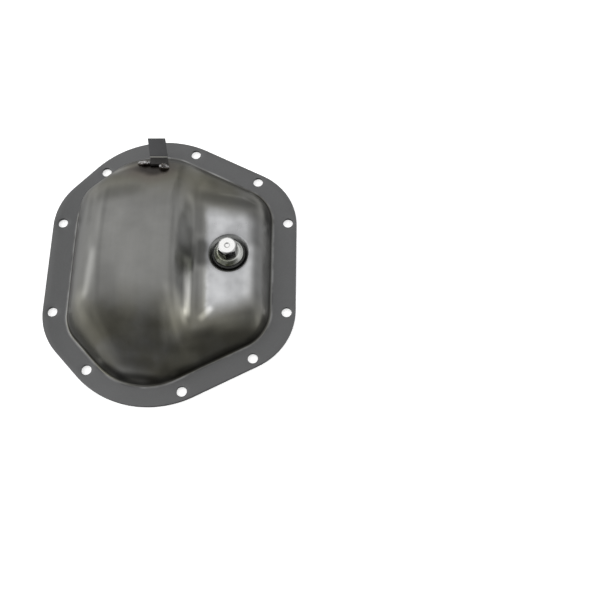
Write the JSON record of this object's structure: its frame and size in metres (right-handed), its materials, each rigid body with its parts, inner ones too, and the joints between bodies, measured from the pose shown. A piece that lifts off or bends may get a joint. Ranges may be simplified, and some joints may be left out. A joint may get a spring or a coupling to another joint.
{
  "type": "differential cover",
  "caption": "Domed pressed steel axle differential cover with a flat bolt flange, a stepped bulge over the ring gear, a hexagonal fill plug and a welded hose bracket.",
  "frame": {"origin": "on the flange's mating face, in the middle of the flange's length and width", "axes": "+Z square to the mating face, out of the dome; +X along the axle towards the fill plug; +Y along the longest extent, towards the hose bracket"},
  "size_m": [0.2524, 0.2924, 0.072],
  "materials": {
    "pressed_steel": "bare pressed steel with a dark oily film, satin",
    "strap_steel": "bare dark strap steel, satin",
    "plated_steel": "bright plating on turned steel",
    "seal_rubber": "black moulded rubber, matt",
    "weld_metal": "bare weld metal"
  },
  "bodies": {
    "root": {"cover_shell": "pressed_steel", "plug_boss": "pressed_steel", "fill_plug": "plated_steel", "plug_seal": "seal_rubber", "hose_bracket": "strap_steel", "weld_bead_side": "weld_metal", "weld_bead_end": "weld_metal"}
  },
  "joints": []
}
